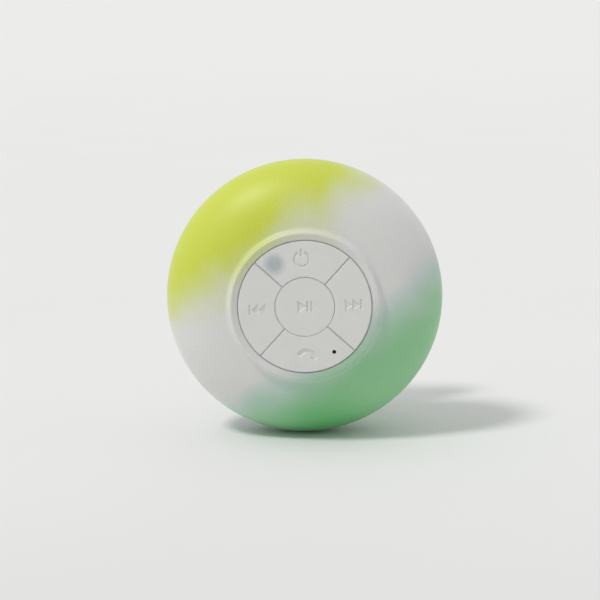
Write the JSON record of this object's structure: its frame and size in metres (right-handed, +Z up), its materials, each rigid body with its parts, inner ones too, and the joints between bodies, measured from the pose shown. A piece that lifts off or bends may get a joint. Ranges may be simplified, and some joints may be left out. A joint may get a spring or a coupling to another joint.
{
  "type": "shower speaker",
  "caption": "Round waterproof speaker with a bun-shaped two-tone shell, a round pad of divided control keys and a swivelling suction cup behind.",
  "frame": {"origin": "centre of the suction cup, in the plane of the wall that it sticks to", "axes": "+Y into the wall along the speaker's axis, +Z up with the power key at the top, +X to the right as seen from the front"},
  "size_m": [0.086, 0.055, 0.086],
  "materials": {
    "soft_touch_shell": "ABS with a soft-touch coat sprayed in a soft chartreuse, white and mint gradient",
    "key_silicone": "off-white matt silicone",
    "clear_silicone": "translucent silicone, smooth and slightly glossy",
    "cover_rubber": "soft matt rubber in the shell's colour",
    "membrane_silicone": "thin translucent silicone sheet",
    "plunger_plastic": "small moulded plastic, satin",
    "black_plastic": "black moulded plastic, fine texture",
    "circuit_board": "green solder mask on glass fibre",
    "led_lens": "clear epoxy lens",
    "plated_steel": "bright zinc or nickel plate",
    "seal_rubber": "black rubber, matt",
    "black_foam": "closed-cell foam",
    "acoustic_cloth": "fine woven cloth, water repellent",
    "battery_foil": "laminated aluminium pouch, satin",
    "ferrite": "sintered ferrite, dull grey-black",
    "cone_paper": "pressed black paper",
    "coil_copper": "enamelled copper wire",
    "lead_sleeve": "coloured silicone sleeve on stranded wire"
  },
  "bodies": {
    "cup": {"suction_cup": "clear_silicone"},
    "housing": {"front_shell": "soft_touch_shell", "rear_shell": "soft_touch_shell", "keypad_membrane": "membrane_silicone", "switch_power": "black_plastic", "switch_previous": "black_plastic", "switch_next": "black_plastic", "switch_call": "black_plastic", "switch_play_pause": "black_plastic", "keypad_frame": "black_plastic", "wireless_chip": "black_plastic", "amplifier_chip": "black_plastic", "charge_port_tongue": "black_plastic", "driver_basket": "black_plastic", "main_board": "circuit_board", "charge_board": "circuit_board", "driver_terminal": "circuit_board", "status_led": "led_lens", "microphone": "plated_steel", "charge_port": "plated_steel", "driver_top_plate": "plated_steel", "driver_yoke": "plated_steel", "shell_screw_1": "plated_steel", "shell_screw_2": "plated_steel", "shell_screw_3": "plated_steel", "shell_screw_4": "plated_steel", "board_screw_1": "plated_steel", "board_screw_2": "plated_steel", "board_screw_3": "plated_steel", "driver_screw_1": "plated_steel", "driver_screw_2": "plated_steel", "driver_screw_3": "plated_steel", "microphone_boot": "seal_rubber", "shell_seal": "seal_rubber", "driver_surround": "seal_rubber", "driver_gasket": "black_foam", "battery_pad": "black_foam", "acoustic_mesh": "acoustic_cloth", "driver_spider": "acoustic_cloth", "battery": "battery_foil", "driver_magnet": "ferrite", "battery_lead": "lead_sleeve", "speaker_lead": "lead_sleeve", "charge_lead": "lead_sleeve"},
    "power_key": {"key_power": "key_silicone", "plunger_power": "plunger_plastic"},
    "previous_key": {"key_previous": "key_silicone", "plunger_previous": "plunger_plastic"},
    "next_key": {"key_next": "key_silicone", "plunger_next": "plunger_plastic"},
    "call_key": {"key_call": "key_silicone", "plunger_call": "plunger_plastic"},
    "play_pause_key": {"key_play_pause": "key_silicone", "plunger_play_pause": "plunger_plastic"},
    "cone": {"driver_cone": "cone_paper", "driver_dust_cap": "cone_paper", "driver_voice_coil": "coil_copper"},
    "cover": {"port_cover": "cover_rubber"}
  },
  "joints": [
    {"name": "cup_swivel", "type": "hinge", "parent": "cup", "child": "housing", "pos_m": [0, 0, 0], "axis": [0, 1, 0], "continuous": true},
    {"name": "power_press", "type": "slide", "parent": "housing", "child": "power_key", "axis": [0, 1, 0], "range_m": [0, 0.0005], "stiffness_N_per_m": 2000},
    {"name": "previous_press", "type": "slide", "parent": "housing", "child": "previous_key", "axis": [0, 1, 0], "range_m": [0, 0.0005], "stiffness_N_per_m": 2000},
    {"name": "next_press", "type": "slide", "parent": "housing", "child": "next_key", "axis": [0, 1, 0], "range_m": [0, 0.0005], "stiffness_N_per_m": 2000},
    {"name": "call_press", "type": "slide", "parent": "housing", "child": "call_key", "axis": [0, 1, 0], "range_m": [0, 0.0005], "stiffness_N_per_m": 2000},
    {"name": "play_pause_press", "type": "slide", "parent": "housing", "child": "play_pause_key", "axis": [0, 1, 0], "range_m": [0, 0.0005], "stiffness_N_per_m": 2000},
    {"name": "cone_stroke", "type": "slide", "parent": "housing", "child": "cone", "axis": [0, 1, 0], "range_m": [-0.0006, 0.0006], "stiffness_N_per_m": 1500},
    {"name": "cover_hinge", "type": "hinge", "parent": "housing", "child": "cover", "pos_m": [0.0419, -0.0293, 0.0067], "axis": [0, -1, 0], "range_deg": [0, 110]}
  ]
}
